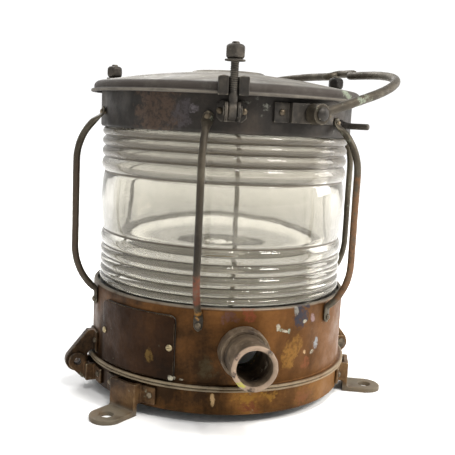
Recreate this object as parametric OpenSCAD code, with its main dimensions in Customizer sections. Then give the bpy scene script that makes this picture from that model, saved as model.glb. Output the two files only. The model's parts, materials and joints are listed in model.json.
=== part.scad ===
// All-round ship lantern: a ribbed glass drum between a sheet-brass base and a top band,
// guarded by six rods, closed by a clamped lid and carried by a hinged bail.
// Millimetres. Origin: on the lantern's axis, on the surface it stands on. +Z up.
// Azimuths are degrees round the axis: 0 is the front (-Y), where the cable tube leaves,
// and they grow towards +X.

/* [Base shell] */
// Outer radius of the base shell
shell_r = 112; // [108:1:116]
// Height of the base shell's top edge
shell_top = 93; // [91:1:96]
// Outer radius of the flange between the base shell and the mounting ring
flange_r = 117; // [116.5:0.5:118]
// Thickness of the sheet brass
sheet = 1.5; // [1.2:0.1:2]

/* [Mounting ring] */
// Height of the joint between the mounting ring and the base shell
joint_z = 29.5; // [28:0.5:31]
// Height of the mounting ring's lower edge
ring_bottom = 8; // [6:1:9]
// Outer radius of the mounting ring's skirt
ring_r = 113; // [113:0.5:114]

/* [Feet] */
// Azimuth of the left foot; the other two follow at 120 degree steps
foot_az = -47.5; // [-50:0.5:-46]
// Radius from the axis to the bolt holes
foot_hole_circle = 138; // [136:1:142]
// Diameter of the bolt holes
foot_hole_d = 11; // [8:0.5:13]
// Width of a foot
foot_w = 27; // [24:1:28]
// Thickness of a foot's plate
foot_t = 4; // [3:0.5:5]

/* [Lens] */
// Radius of the ribs' crests
lens_r = 107.3; // [106:0.1:108]
// Depth of the grooves between the ribs
groove_depth = 3; // [1:0.5:4]
// Inner radius of the glass
lens_inner_r = 97.5; // [96:0.5:99]

/* [Top band] */
// Outer radius of the band
band_r = 109; // [108.5:0.5:109]
// Height of the band's lower edge
band_bottom = 225.4; // [224:0.2:226]

/* [Lid] */
// Radius of the lid's lower lip
lip_r = 118.4; // [117:0.2:119]
// Height of the dome above the lid's rim
dome_h = 13.4; // [8:0.2:20]
// Radius of the raised disc on the dome
dome_disc_r = 32; // [20:1:50]

/* [Clamps] */
// Azimuth of the front clamp; the other two follow at 120 degree steps
clamp_az = -9; // [-10:0.5:-8]
// Diameter of the swing bolts' shanks
bolt_d = 6.35; // [5.5:0.05:6.5]
// Width of a clamp nut across its flats
nut_af = 13.3; // [12:0.1:14]
// Height of a clamp nut
nut_h = 10.8; // [8:0.2:11.4]
// Gap under the front clamp's washer, which is well backed off
front_gap = 10.5; // [6:0.5:11]
// Gap under the two rear clamps' washers, which are eased
rear_gap = 2; // [2:0.1:3]

/* [Guard rods] */
// Azimuth of the first guard rod; the others follow at 60 degree steps
rod_az = -18; // [-19:0.5:-17.5]
// Diameter of a guard rod
rod_d = 5.6; // [4.5:0.1:6]
// Radius from the axis to the rods' upright runs
rod_run_r = 132; // [126:1:136]

/* [Bail] */
// Azimuth of the bail's front pivot; the rear pivot is opposite
bail_az = 23; // [22:0.5:24]
// Diameter of the bail's rod
bail_d = 7.5; // [6:0.1:7.6]
// Distance from the pivots to the bail's cross bar
bail_reach = 136; // [130:1:145]
// How far the crank in the middle of the bail stands out
bail_crank = 10; // [8:0.5:14]
// Angle of the folded bail above the horizontal
bail_rest_angle = 17; // [16:1:40]

/* [Cable tube] */
// Bore of the cable tube
tube_bore = 26; // [20:0.5:28]
// Outer diameter of the cable tube
tube_d = 33.5; // [31:0.5:36]
// Distance from the axis to the tube's mouth
tube_reach = 155; // [140:1:165]

/* [Hidden] */

$fn = 160;
sliver = 0.05;              // clearance round a rivet, screw or tube in its hole
pin_play = 0.05;            // radial play of a pin in its bearing
joint_gap = 0.3;            // gap between bodies that move apart
long = 400;                 // longer than anything here, for cutters

// Metal colours
COPPER = [0.48, 0.33, 0.17];
BRONZE = [0.34, 0.30, 0.26];
GREENED = [0.45, 0.47, 0.42];
GLASS = [0.85, 0.90, 0.88, 0.35];

// Base: flange, deck and fittings on the joint line
flange_t = 2;
flange_inner_r = 106;
ring_top = joint_z - joint_gap / 2;
shell_bottom = joint_z + joint_gap / 2;
shell_floor = shell_bottom + flange_t;
edge_inner_r = 108.4;
edge_h = 1.8;
deck_bottom = 86;
deck_top = 88;
deck_rim_z = 83.5;
gasket_t = 1.5;

// Feet and joint-line brackets, seen from the axis
FOOT_AZ = [foot_az, foot_az + 120, foot_az - 120];
web_x = 118;
foot_eye_swell = 0.6;
wing_from = 6.4;
wing_to = 13.3;
wing_t = 2.5;
wing_rivet = 10.8;
wing_top = 26;
wing_bottom = 10.5;
wing_step = 1;
web_bottom = 9.5;
bracket_half = 13;
bracket_top = 24;
ring_rivet_z = 18;
hinge_az = 100;
lock_az = -80;
axle_r = 128;
axle_z = 25;
axle_d = 6;
knuckle_r = 9.5;
knuckle_w = 8;
ear_r = 7.5;
ear_t = 4;
ear_gap = knuckle_w + 2 * joint_gap;
lug_pad_t = 2.2;
lug_pad_half = 5.6;
lug_rivet = 4.2;
lug_rivet_z = 43;

// Access cover
cover_az = -46.7;
cover_half = 19.5;
cover_t = 1.8;
cover_gasket_t = 0.8;
cover_bottom = 33;
cover_top = 84.5;
cover_corner = 5;
cover_screw_az = 17.6;
cover_screw_z = 59;
cover_screw_d = 3.4;
cover_screw_play = 0.1;
cover_screw_head_r = 2.8;
cover_screw_head_h = 1.7;
cover_screw_slot_w = 0.8;
cover_screw_slot_bottom = 0.9;
window_half = 14.5;
window_bottom = 42;
window_top = 76;

// Cable tube
tube_z = 60;
tube_inner_end = 104;
collar_d = 39;
collar_end = 124;

// Lens: heights of the groove lines, bottom to top; the tall step is the smooth belt
lens_bottom = deck_top + gasket_t;
lens_top = 230;
LENS_LINES = [93, 99.2, 106.4, 115.6, 124.8, 137.3, 187.7, 200, 209.3, 217.6, 225.4];
lens_groove_r = lens_r - groove_depth;
rib_steps = 6;

// Band and its seat on the glass
band_wall = 2;
band_top = 256;
seat_z = lens_top + gasket_t + 0.5;
seat_inner_r = 96;

// Lid: heights of the lip and rim
lip_bottom = 253.8;
lip_top = 256.3;
rim_r = lip_r - 2.8;
rim_top = 263.2;
lid_inner_r = 113.4;
lid_ceiling = 258.6;
seal_inner_r = 105;
seal_outer_r = 112;
dome_top = rim_top + dome_h;

// Clamps: swing bolt pivots on the band, forked lugs on the lid
CLAMP_AZ = [clamp_az, clamp_az + 120, clamp_az - 120];
pivot_r = 123;
pivot_z = 242;
bolt_pin_d = 5;
bolt_eye_r = 6.3;
bolt_eye_w = 6.4;
clevis_gap = bolt_eye_w + 2 * joint_gap;
clevis_ear_t = 2.2;
clevis_r = 6.4;
plate_t = 2;
plate_half_w = 11.2;
plate_half_h = 8;
plate_corner = 3;
plate_rivet = 4.65;
lug_bottom = 253;
lug_top = 266.6;
lug_w = 22.4;
lug_outer = 126;
lug_inner = 103;
slot_w = 7.4;
lid_rivet_r = 108.5;
lid_rivet_y = 7;
washer_t = 1.2;
washer_r = 7.5;
bolt_over_nut = 1.5;
thread_play = 0.07;

// Guard rods: an upright run, a bend at each end, and flattened ends riveted on
rod_run_bottom = 126;
rod_run_top = 197;
rod_top_bend_r = 45;
rod_top_bend = 62;
rod_bottom_bend_r = 49;
rod_bottom_bend = 57;
pad_r = 5;
pad_t = 2.6;
pad_tail_half = 1.5;
pad_tail_top = 88;
rod_pad_top_z = 237;
rod_pad_bottom_z = 79;

// Bail: pivots just outside the lid's lip, big corner bends, a crank in the middle
bail_z = 243;
bail_half = 124;
bail_corner_r = 88;
bail_straight = bail_reach - bail_corner_r;
crank_bend_r = 5;
crank_half = 13;
bail_eye_r = 8;
bail_eye_from = 117;
bail_eye_to = 127.6;
bail_pin_d = 7;
strap_half = 15.2;
strap_raise_half = 9.2;
strap_wall = 1.3;
strap_t = 2.4;
strap_out = 114;
strap_bottom = 235.5;
strap_top = 250.5;
strap_rivet = 12.1;

// Lashing peg
peg_az = 47.5;
peg_z = 235.2;
peg_end = 133;
peg_d = 5;

// Lampholder, hung through the deck, and its wiring
holder_r = 19.5;
holder_flange_r = 25;
holder_bottom = 58;
holder_top = 104;
socket_r = 14.2;
socket_wall = 0.8;
socket_bottom = 70;
block_y = 46;
block_z = 71;
lead_d = 3.2;
lead_x = 6;
lead_bend_r = 5;

// Rivets: [azimuth, height] of each on the band and on the base shell
rivet_d = 3.4;
rivet_head_r = 2.6;
rivet_head_h = 1.7;
rivet_seat_play = 0.5;
BAND_RIVETS = concat(
    [for (i = [0 : 5]) [rod_az + 60 * i, rod_pad_top_z, pad_t]],
    [for (az = CLAMP_AZ, s = [-1, 1]) [az + s * plate_rivet, pivot_z, plate_t]],
    [for (az = [bail_az, bail_az + 180], s = [-1, 1]) [az + s * strap_rivet, bail_z, strap_t]]
);
SHELL_RIVETS = concat(
    [for (i = [0 : 5]) [rod_az + 60 * i, rod_pad_bottom_z, pad_t]],
    [for (az = [hinge_az, lock_az], s = [-1, 1]) [az + s * lug_rivet, lug_rivet_z, lug_pad_t]]
);
RING_RIVETS = [for (az = concat(FOOT_AZ, [hinge_az, lock_az]), s = [-1, 1])
    [az + s * wing_rivet, ring_rivet_z, wing_t]];

// ---------------------------------------------------------------- helpers

// Puts local +X along the outward radius at an azimuth, local +Y along growing azimuth
module station(az) rotate([0, 0, az - 90]) children();

// Part of a ring, centred on local +X
module ring_sector(inner, outer, bottom, top, half) {
    rotate([0, 0, -half])
        rotate_extrude(angle = 2 * half)
            translate([inner, bottom]) square([outer - inner, top - bottom]);
}

// A full ring
module ring(inner, outer, bottom, top) {
    rotate_extrude() translate([inner, bottom]) square([outer - inner, top - bottom]);
}

// A rod along local +X, from one radius to another, at a height
module radial_rod(d, from, to, z) {
    translate([from, 0, z]) rotate([0, 90, 0]) cylinder(d = d, h = to - from);
}

// A rod along local Y, centred
module cross_rod(d, w, x, z) {
    translate([x, 0, z]) rotate([90, 0, 0]) cylinder(d = d, h = w, center = true);
}

// A plate standing in the local XZ plane, centred on Y, from a 2D outline in X and Z
module upright_plate(w) {
    rotate([90, 0, 0]) linear_extrude(height = w, center = true) children();
}

// Domed head pointing along local +X with its seat at X = 0
module dome_head(r, h) {
    rotate([0, 90, 0]) rotate_extrude()
        polygon(concat([[0, 0]], [for (a = [0 : 18 : 90]) [r * cos(a), h * sin(a)]]));
}

// A rivet through a pad of thickness t on a wall between two radii
module rivet(az, z, t, wall_in, wall_out) {
    station(az) {
        radial_rod(rivet_d, wall_in, wall_out + t + sliver, z);
        translate([wall_out + t + sliver, 0, z]) dome_head(rivet_head_r, rivet_head_h);
        radial_rod(2 * rivet_head_r - 1, wall_in - 1.2, wall_in - sliver, z);
    }
}

// What is cut from a riveted piece: a hole for the stud and a flat seat for the head
module rivet_seat(t, wall_out, z) {
    radial_rod(rivet_d + 2 * sliver, wall_out - 5, wall_out + 6, z);
    radial_rod(2 * rivet_head_r + rivet_seat_play, wall_out + t, wall_out + 12, z);
}

module rivet_holes(spots, from, to) {
    for (s = spots) station(s[0]) radial_rod(rivet_d + 2 * sliver, from, to, s[1]);
}

// ---------------------------------------------------------------- mounting ring

module mounting_ring() {
    color(COPPER) difference() {
        rotate_extrude() polygon([
            [ring_r - 2, ring_bottom], [ring_r, ring_bottom],
            [ring_r, ring_top - flange_t], [flange_r - 0.5, ring_top - flange_t],
            [flange_r, ring_top - flange_t + 0.5], [flange_r, ring_top - 0.5],
            [flange_r - 0.5, ring_top], [flange_inner_r, ring_top],
            [flange_inner_r, ring_top - flange_t], [ring_r - 2, ring_top - flange_t]
        ]);
        rivet_holes(RING_RIVETS, ring_r - 5, ring_r + 5);
    }
}

// Two wings that lie on the ring either side of a web, and the web's side walls
module hat_wings(web_half_w, web_top) {
    wing_half = (wing_to - wing_from) / 2;
    for (s = [-1, 1]) {
        rotate([0, 0, s * (wing_from + wing_half)])
            ring_sector(ring_r - 1, ring_r + wing_t, wing_bottom, web_top - wing_step, wing_half);
        translate([ring_r - 2, s > 0 ? web_half_w - foot_t : -web_half_w, web_bottom])
            cube([web_x - ring_r + 3, foot_t, web_top - web_bottom]);
    }
}

// What is cut away behind a foot or bracket so that it sits on the ring
module ring_seat() {
    cylinder(r = ring_r, h = long);
    for (s = [-1, 1]) rotate([0, 0, s * wing_rivet])
        radial_rod(rivet_d + 2 * sliver, ring_r - 5, ring_r + 8, ring_rivet_z);
}

module foot(az) {
    color(COPPER) station(az) {
        difference() {
            union() {
                hat_wings(foot_w / 2, wing_top);
                translate([web_x, -foot_w / 2, 0]) cube([foot_t, foot_w, wing_top]);
                translate([web_x, -foot_w / 2, 0])
                    cube([foot_hole_circle - web_x, foot_w, foot_t]);
                translate([foot_hole_circle, 0, 0]) cylinder(d = foot_w + foot_eye_swell, h = foot_t);
            }
            translate([foot_hole_circle, 0, -1]) cylinder(d = foot_hole_d, h = foot_t + 2);
            ring_seat();
        }
    }
}

// Bracket on the mounting ring that carries one end of the joint-line hinge
module joint_bracket(az) {
    color(COPPER) station(az) difference() {
        union() {
            hat_wings(bracket_half, bracket_top);
            translate([web_x, -bracket_half, web_bottom])
                cube([foot_t, 2 * bracket_half, bracket_top - web_bottom]);
            for (s = [-1, 1]) translate([0, s * (ear_gap + ear_t) / 2, 0]) {
                cross_rod(2 * ear_r, ear_t, axle_r, axle_z);
                upright_plate(ear_t)
                    polygon([[web_x + 1, web_bottom + 1], [web_x + 6, web_bottom + 1],
                        [axle_r + 6, axle_z - 4.5], [axle_r, axle_z + 2],
                        [web_x + 1, bracket_top - 1]]);
            }
        }
        cross_rod(axle_d, 40, axle_r, axle_z);
        cross_rod(2 * (knuckle_r + joint_gap), ear_gap, axle_r, axle_z);
        ring_seat();
    }
}

// Lug on the base shell whose knuckle sits between a bracket's ears
module joint_lug(az) {
    color(BRONZE) station(az) {
        difference() {
            ring_sector(shell_r, shell_r + lug_pad_t, 33.5, 51, lug_pad_half);
            for (s = [-1, 1]) rotate([0, 0, s * lug_rivet])
                radial_rod(rivet_d + 2 * sliver, shell_r - 5, shell_r + 5, lug_rivet_z);
        }
        difference() {
            union() {
                cross_rod(2 * knuckle_r, knuckle_w, axle_r, axle_z);
                upright_plate(knuckle_w)
                    polygon([[shell_r + lug_pad_t, 34], [flange_r + 0.6, 32.5],
                        [axle_r - 8.6, axle_z + 4], [axle_r, axle_z - 1],
                        [axle_r + 7.5, axle_z + 5.8], [shell_r + 7, 51],
                        [shell_r + lug_pad_t, 51]]);
            }
            cross_rod(axle_d + 2 * pin_play, 40, axle_r, axle_z);
            cylinder(r = shell_r + lug_pad_t, h = long);
        }
    }
}

module hinge_pin() {
    color(BRONZE) station(hinge_az) {
        cross_rod(axle_d, ear_gap + 2 * ear_t, axle_r, axle_z);
        for (s = [-1, 1]) translate([0, s * (ear_gap / 2 + ear_t + 0.8), 0])
            cross_rod(axle_d + 3, 1.6, axle_r, axle_z);
    }
}

module ring_rivets() {
    color(BRONZE) for (s = RING_RIVETS) rivet(s[0], s[1], s[2], ring_r - 2, ring_r);
}

// ---------------------------------------------------------------- base shell

module base_shell() {
    color(COPPER) difference() {
        rotate_extrude() polygon([
            [flange_inner_r, shell_bottom], [flange_r - 0.5, shell_bottom],
            [flange_r, shell_bottom + 0.5], [flange_r, shell_floor - 0.5],
            [flange_r - 0.5, shell_floor], [shell_r, shell_floor],
            [shell_r, shell_top - 1], [shell_r - 1, shell_top],
            [edge_inner_r, shell_top], [edge_inner_r, shell_top - edge_h],
            [shell_r - sheet, shell_top - edge_h], [shell_r - sheet, shell_floor],
            [flange_inner_r, shell_floor]
        ]);
        rivet_holes(SHELL_RIVETS, shell_r - 5, shell_r + 5);
        station(0) radial_rod(tube_d + 2 * sliver, shell_r - 20, shell_r + 20, tube_z);
        station(cover_az)
            ring_sector(shell_r - 6, shell_r + 6, window_bottom, window_top, window_half);
        for (s = [-1, 1]) station(cover_az + s * cover_screw_az)
            radial_rod(cover_screw_d + cover_screw_play, shell_r - 5, shell_r + 5, cover_screw_z);
    }
}

module shell_rivets() {
    color(BRONZE) for (s = SHELL_RIVETS) rivet(s[0], s[1], s[2], shell_r - sheet, shell_r);
}

module cable_tube() {
    color(BRONZE) station(0) difference() {
        radial_rod(tube_d, tube_inner_end, tube_reach, tube_z);
        radial_rod(tube_bore, tube_inner_end - 1, tube_reach + 1, tube_z);
    }
}

module tube_collar() {
    color(BRONZE) station(0) difference() {
        radial_rod(collar_d, shell_r - 8, collar_end, tube_z);
        radial_rod(tube_d + 2 * sliver, shell_r - 10, collar_end + 1, tube_z);
        cylinder(r = shell_r, h = long);
    }
}

// Curved sheet on the shell with rounded top corners
module cover_sheet(inner, outer) {
    half_w = outer * sin(cover_half);
    corner_x = half_w - cover_corner;
    corner_z = cover_top - cover_corner;
    right = [for (a = [0 : 15 : 90])
        [corner_x + cover_corner * cos(a), corner_z + cover_corner * sin(a)]];
    left = [for (a = [90 : 15 : 180])
        [-corner_x + cover_corner * cos(a), corner_z + cover_corner * sin(a)]];
    intersection() {
        ring(inner, outer, cover_bottom - 1, cover_top + 1);
        translate([inner - 40, 0, 0]) rotate([90, 0, 90]) linear_extrude(height = 80)
            polygon(concat([[-half_w, cover_bottom], [half_w, cover_bottom]], right, left));
    }
}

module cover_screw_holes() {
    for (s = [-1, 1]) rotate([0, 0, s * cover_screw_az])
        radial_rod(cover_screw_d + cover_screw_play, shell_r - 5, shell_r + 8, cover_screw_z);
}

module access_cover() {
    color(COPPER) station(cover_az) difference() {
        cover_sheet(shell_r + cover_gasket_t, shell_r + cover_gasket_t + cover_t);
        cover_screw_holes();
    }
}

module cover_gasket() {
    color("dimgray") station(cover_az) difference() {
        cover_sheet(shell_r, shell_r + cover_gasket_t);
        ring_sector(shell_r - 6, shell_r + 6, window_bottom, window_top, window_half);
        cover_screw_holes();
    }
}

module cover_screws() {
    head_seat = shell_r + cover_gasket_t + cover_t;
    color(BRONZE) for (s = [-1, 1]) station(cover_az + s * cover_screw_az) {
        radial_rod(cover_screw_d, shell_r - 3, head_seat, cover_screw_z);
        difference() {
            translate([head_seat, 0, cover_screw_z]) dome_head(cover_screw_head_r, cover_screw_head_h);
            translate([head_seat + cover_screw_slot_bottom, -5, cover_screw_z - cover_screw_slot_w / 2])
                cube([3, 10, cover_screw_slot_w]);
        }
    }
}

// Plate across the top of the base: seats the glass and carries the lampholder
module deck_plate() {
    color("gainsboro") difference() {
        rotate_extrude() polygon([
            [0, deck_bottom], [shell_r - sheet - 1.9, deck_bottom],
            [shell_r - sheet - 1.9, deck_rim_z], [shell_r - sheet - 0.1, deck_rim_z],
            [shell_r - sheet - 0.1, deck_top], [0, deck_top]
        ]);
        cylinder(r = holder_r + sliver, h = long);
    }
}

module lower_gasket() {
    color("dimgray") ring(lens_inner_r - 1, lens_r - 1, deck_top, lens_bottom);
}

// ---------------------------------------------------------------- lens and band

// Radius of the ribbed outline inside one step, t from 0 to 1 up the step
function rib_r(t) = lens_groove_r + groove_depth * sin(180 * t);
lens_outline = [for (i = [0 : len(LENS_LINES) - 2], k = [0 : rib_steps - 1])
    let (low = LENS_LINES[i], high = LENS_LINES[i + 1], t = k / rib_steps)
    [rib_r(t), low + t * (high - low)]];

module lens() {
    color(GLASS) rotate_extrude() polygon(concat(
        [[lens_inner_r, lens_bottom], [lens_groove_r, lens_bottom]],
        lens_outline,
        [[lens_groove_r, band_bottom], [lens_groove_r, lens_top], [lens_inner_r, lens_top]]
    ));
}

module upper_gasket() {
    color("dimgray") ring(lens_inner_r - 0.5, lens_groove_r, lens_top, seat_z);
}

module top_band() {
    color(BRONZE) difference() {
        rotate_extrude() polygon([
            [band_r - band_wall, band_bottom], [band_r - 0.8, band_bottom],
            [band_r, band_bottom + 1.5], [band_r, band_top], [band_r - band_wall, band_top],
            [band_r - band_wall, seat_z + 2], [seat_inner_r, seat_z + 2],
            [seat_inner_r, seat_z], [band_r - band_wall, seat_z]
        ]);
        rivet_holes(BAND_RIVETS, band_r - 6, band_r + 5);
        station(peg_az) radial_rod(peg_d + 2 * sliver, band_r - 6, band_r + 5, peg_z);
    }
}

// ---------------------------------------------------------------- guard rods

// A bend inwards from an end of the run; up is 1 for the top end and -1 for the bottom
module rod_bend(bend_r, angle, z, up) {
    translate([rod_run_r - bend_r, 0, z]) rotate([90, 0, 0]) mirror([0, up > 0 ? 0 : 1, 0])
        rotate_extrude(angle = angle) translate([bend_r, 0]) circle(d = rod_d);
}

module guard_rod(i) {
    color(GREENED) station(rod_az + 60 * i) difference() {
        union() {
            translate([rod_run_r, 0, rod_run_bottom])
                cylinder(d = rod_d, h = rod_run_top - rod_run_bottom);
            rod_bend(rod_top_bend_r, rod_top_bend, rod_run_top, 1);
            rod_bend(rod_bottom_bend_r, rod_bottom_bend, rod_run_bottom, -1);
            radial_rod(2 * pad_r, band_r - 3, band_r + pad_t, rod_pad_top_z);
            radial_rod(2 * pad_r, shell_r - 3, shell_r + pad_t, rod_pad_bottom_z);
            ring_sector(shell_r - 1, shell_r + pad_t, rod_pad_bottom_z, pad_tail_top, pad_tail_half);
        }
        translate([0, 0, band_bottom]) cylinder(r = band_r, h = 40);
        cylinder(r = shell_r, h = shell_top);
        rivet_seat(pad_t, band_r, rod_pad_top_z);
        radial_rod(rivet_d + 2 * sliver, shell_r - 5, shell_r + 6, rod_pad_bottom_z);
    }
}

// ---------------------------------------------------------------- fittings on the band

module clamp_bracket(az) {
    color(BRONZE) station(az) difference() {
        union() {
            translate([band_r - 2, 0, pivot_z]) rotate([90, 0, 90]) linear_extrude(height = plate_t + 2)
                polygon([for (c = [[-1, -1], [1, -1], [1, 1], [-1, 1]], k = [0, 1])
                    let (cut = (c[0] * c[1] > 0) == (k == 0) ? [0, 1] : [1, 0])
                    [c[0] * (plate_half_w - plate_corner * cut[0]),
                     c[1] * (plate_half_h - plate_corner * cut[1])]]);
            for (s = [-1, 1]) translate([0, s * (clevis_gap + clevis_ear_t) / 2, 0]) {
                cross_rod(2 * clevis_r, clevis_ear_t, pivot_r, pivot_z);
                translate([band_r, -clevis_ear_t / 2, pivot_z - plate_half_h])
                    cube([pivot_r - band_r, clevis_ear_t, plate_half_h + clevis_r - 0.6]);
            }
        }
        cylinder(r = band_r, h = long);
        cross_rod(bolt_pin_d, 40, pivot_r, pivot_z);
        for (s = [-1, 1]) rotate([0, 0, s * plate_rivet]) rivet_seat(plate_t, band_r, pivot_z);
    }
}

module bracket_pins() {
    color(BRONZE) for (az = CLAMP_AZ) station(az) {
        cross_rod(bolt_pin_d, clevis_gap + 2 * clevis_ear_t, pivot_r, pivot_z);
        for (s = [-1, 1]) translate([0, s * (clevis_gap / 2 + clevis_ear_t + 0.6), 0])
            cross_rod(bolt_pin_d + 2.4, 1.2, pivot_r, pivot_z);
    }
}

// Strap that bridges the head of a bail pin
module bail_strap(az) {
    color(BRONZE) station(az) difference() {
        union() {
            ring_sector(strap_out, strap_out + strap_t, strap_bottom, strap_top, strap_raise_half);
            for (s = [-1, 1]) {
                rotate([0, 0, s * (strap_raise_half - strap_wall / 2)])
                    ring_sector(band_r, strap_out + strap_t, strap_bottom, strap_top, strap_wall / 2);
                rotate([0, 0, s * (strap_half + strap_raise_half) / 2])
                    ring_sector(band_r, band_r + strap_t, strap_bottom, strap_top,
                        (strap_half - strap_raise_half) / 2 + 0.2);
            }
        }
        radial_rod(bail_pin_d, strap_out - 5, strap_out + 8, bail_z);
        for (s = [-1, 1]) rotate([0, 0, s * strap_rivet])
            radial_rod(rivet_d + 2 * sliver, band_r - 5, band_r + 6, bail_z);
    }
}

module bail_pins() {
    color(BRONZE) for (az = [bail_az, bail_az + 180]) station(az) {
        radial_rod(12, strap_out - 3.6, strap_out - 0.2, bail_z);
        radial_rod(bail_pin_d, strap_out - 0.4, bail_eye_to + 0.5, bail_z);
        translate([bail_eye_to + 0.4, 0, bail_z]) dome_head(5.4, 2.6);
    }
}

module band_rivets() {
    color(BRONZE) for (s = BAND_RIVETS) rivet(s[0], s[1], s[2], band_r - band_wall, band_r);
}

// Horizontal peg beside a guard rod, for the lashing that steadies a hoisted lantern
module lashing_peg() {
    color(BRONZE) station(peg_az) {
        difference() {
            translate([band_r - 1, 0, peg_z]) rotate([0, 90, 0])
                rotate_extrude() polygon([[0, 0], [4.8, 0], [4.8, 2.4], [3.6, 3.2], [peg_d / 2, 8],
                    [peg_d / 2, peg_end - band_r], [peg_d / 2 - 0.8, peg_end - band_r + 1],
                    [0, peg_end - band_r + 1]]);
            cylinder(r = band_r, h = long);
        }
        radial_rod(peg_d, band_r - band_wall - 1, band_r + 1, peg_z);
    }
}

// ---------------------------------------------------------------- lamp and wiring

module lampholder() {
    color("whitesmoke") difference() {
        union() {
            translate([0, 0, holder_bottom]) cylinder(r = holder_r, h = deck_top - holder_bottom + 1);
            translate([0, 0, deck_top]) cylinder(r = holder_flange_r, h = 4);
            translate([0, 0, deck_top]) cylinder(r = holder_r - 1.5, h = holder_top - deck_top);
        }
        translate([0, 0, socket_bottom]) cylinder(r = socket_r + sliver, h = long);
    }
}

module socket_shell() {
    color("goldenrod") translate([0, 0, socket_bottom]) difference() {
        cylinder(r = socket_r, h = holder_top - socket_bottom - 1);
        translate([0, 0, socket_wall]) cylinder(r = socket_r - socket_wall, h = long);
        translate([0, 0, -1]) cylinder(r = 6, h = 4);
    }
}

module centre_contact() {
    color("goldenrod") translate([0, 0, socket_bottom]) cylinder(r = 4, h = 3);
}

module terminal_block() {
    color("saddlebrown") difference() {
        translate([-18, block_y - 11, block_z]) cube([36, 22, deck_bottom - block_z]);
        for (x = [-12, -lead_x, lead_x, 12]) translate([x, block_y, block_z - 1])
            cylinder(d = 3.4, h = 6);
    }
}

module terminal_screws() {
    color("goldenrod") for (x = [-12, -lead_x, lead_x, 12]) translate([x, block_y, block_z]) {
        cylinder(d = 3.3, h = 4);
        translate([0, 0, -1.4]) cylinder(d = 5, h = 1.4);
    }
}

// Two leads from the terminal block to the side of the lampholder, each an S bend
module lead_wires() {
    start_y = block_y - 11;
    high = 78;
    low = high - 2 * lead_bend_r - 4;
    turn_y = holder_r + 0.5 + lead_bend_r;
    color("firebrick") for (s = [-1, 1]) translate([s * lead_x, 0, 0]) difference() {
        union() {
            translate([0, turn_y + lead_bend_r, high]) rotate([-90, 0, 0])
                cylinder(d = lead_d, h = start_y - turn_y - lead_bend_r);
            translate([0, turn_y + lead_bend_r, high - lead_bend_r]) rotate([0, -90, 0])
                rotate([0, 0, -90]) rotate_extrude(angle = 90)
                    translate([lead_bend_r, 0]) circle(d = lead_d);
            translate([0, turn_y, low + lead_bend_r])
                cylinder(d = lead_d, h = high - low - 2 * lead_bend_r);
            translate([0, turn_y - lead_bend_r, low + lead_bend_r]) rotate([0, -90, 0])
                rotate([0, 0, 90]) rotate_extrude(angle = 90)
                    translate([lead_bend_r, 0]) circle(d = lead_d);
            translate([0, holder_r - 3, low]) rotate([-90, 0, 0])
                cylinder(d = lead_d, h = turn_y - lead_bend_r - holder_r + 3);
        }
        translate([-s * lead_x, 0, 0]) cylinder(r = holder_r, h = long);
    }
}

// ---------------------------------------------------------------- bail

// One half of the bail in its own plane: X across the pivots, Y away from them
module bail_half_shape() {
    translate([bail_half, 0, 0]) rotate([-90, 0, 0]) cylinder(d = bail_d, h = bail_straight);
    translate([bail_half - bail_corner_r, bail_straight, 0])
        rotate_extrude(angle = 90) translate([bail_corner_r, 0]) circle(d = bail_d);
    translate([crank_half + crank_bend_r, bail_reach, 0]) rotate([0, 90, 0])
        cylinder(d = bail_d, h = bail_half - bail_corner_r - crank_half - crank_bend_r);
    translate([crank_half + crank_bend_r, bail_reach + crank_bend_r, 0])
        rotate([0, 0, 180]) rotate_extrude(angle = 90)
            translate([crank_bend_r, 0]) circle(d = bail_d);
    translate([crank_half - crank_bend_r, bail_reach + bail_crank - crank_bend_r, 0])
        rotate_extrude(angle = 90) translate([crank_bend_r, 0]) circle(d = bail_d);
    if (bail_crank > 2 * crank_bend_r)
        translate([crank_half, bail_reach + crank_bend_r, 0]) rotate([-90, 0, 0])
            cylinder(d = bail_d, h = bail_crank - 2 * crank_bend_r);
    translate([0, bail_reach + bail_crank, 0]) rotate([0, 90, 0])
        cylinder(d = bail_d, h = crank_half - crank_bend_r);
}

module bail_handle() {
    color(GREENED) translate([0, 0, bail_z]) station(bail_az) rotate([bail_rest_angle, 0, 0])
        for (s = [0, 1]) mirror([s, 0, 0]) difference() {
            union() {
                bail_half_shape();
                translate([bail_eye_from, 0, 0]) rotate([0, 90, 0])
                    cylinder(r = bail_eye_r, h = bail_eye_to - bail_eye_from);
            }
            translate([bail_eye_from - 5, 0, 0]) rotate([0, 90, 0])
                cylinder(d = bail_pin_d + 2 * pin_play, h = 30);
        }
}

// ---------------------------------------------------------------- lid

LID_TOP = [
    [0, dome_top], [dome_disc_r, dome_top], [dome_disc_r + 0.5, dome_top - 1.4],
    [rim_r * 0.62, rim_top + dome_h * 0.54], [rim_r - 2.4, rim_top],
    [rim_r, rim_top - 2], [rim_r, lip_top], [lip_r, lip_top], [lip_r, lip_bottom]
];

module lid() {
    color(BRONZE) difference() {
        rotate_extrude() polygon(concat(LID_TOP, [
            [lid_inner_r, lip_bottom], [lid_inner_r, lid_ceiling], [seal_inner_r - 1, lid_ceiling],
            [seal_inner_r - 3, rim_top - 1], [rim_r * 0.6, rim_top + dome_h * 0.54 - 2.4],
            [dome_disc_r, dome_top - 3.6], [0, dome_top - 3.6]
        ]));
        lid_rivet_holes();
    }
}

module lid_rivet_holes() {
    for (az = CLAMP_AZ, s = [-1, 1]) station(az)
        translate([lid_rivet_r, s * lid_rivet_y, lid_ceiling - 2])
            cylinder(d = rivet_d + 2 * sliver, h = 20);
}

module lid_gasket() {
    color("dimgray") ring(seal_inner_r, seal_outer_r, band_top + joint_gap, lid_ceiling);
}

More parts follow.
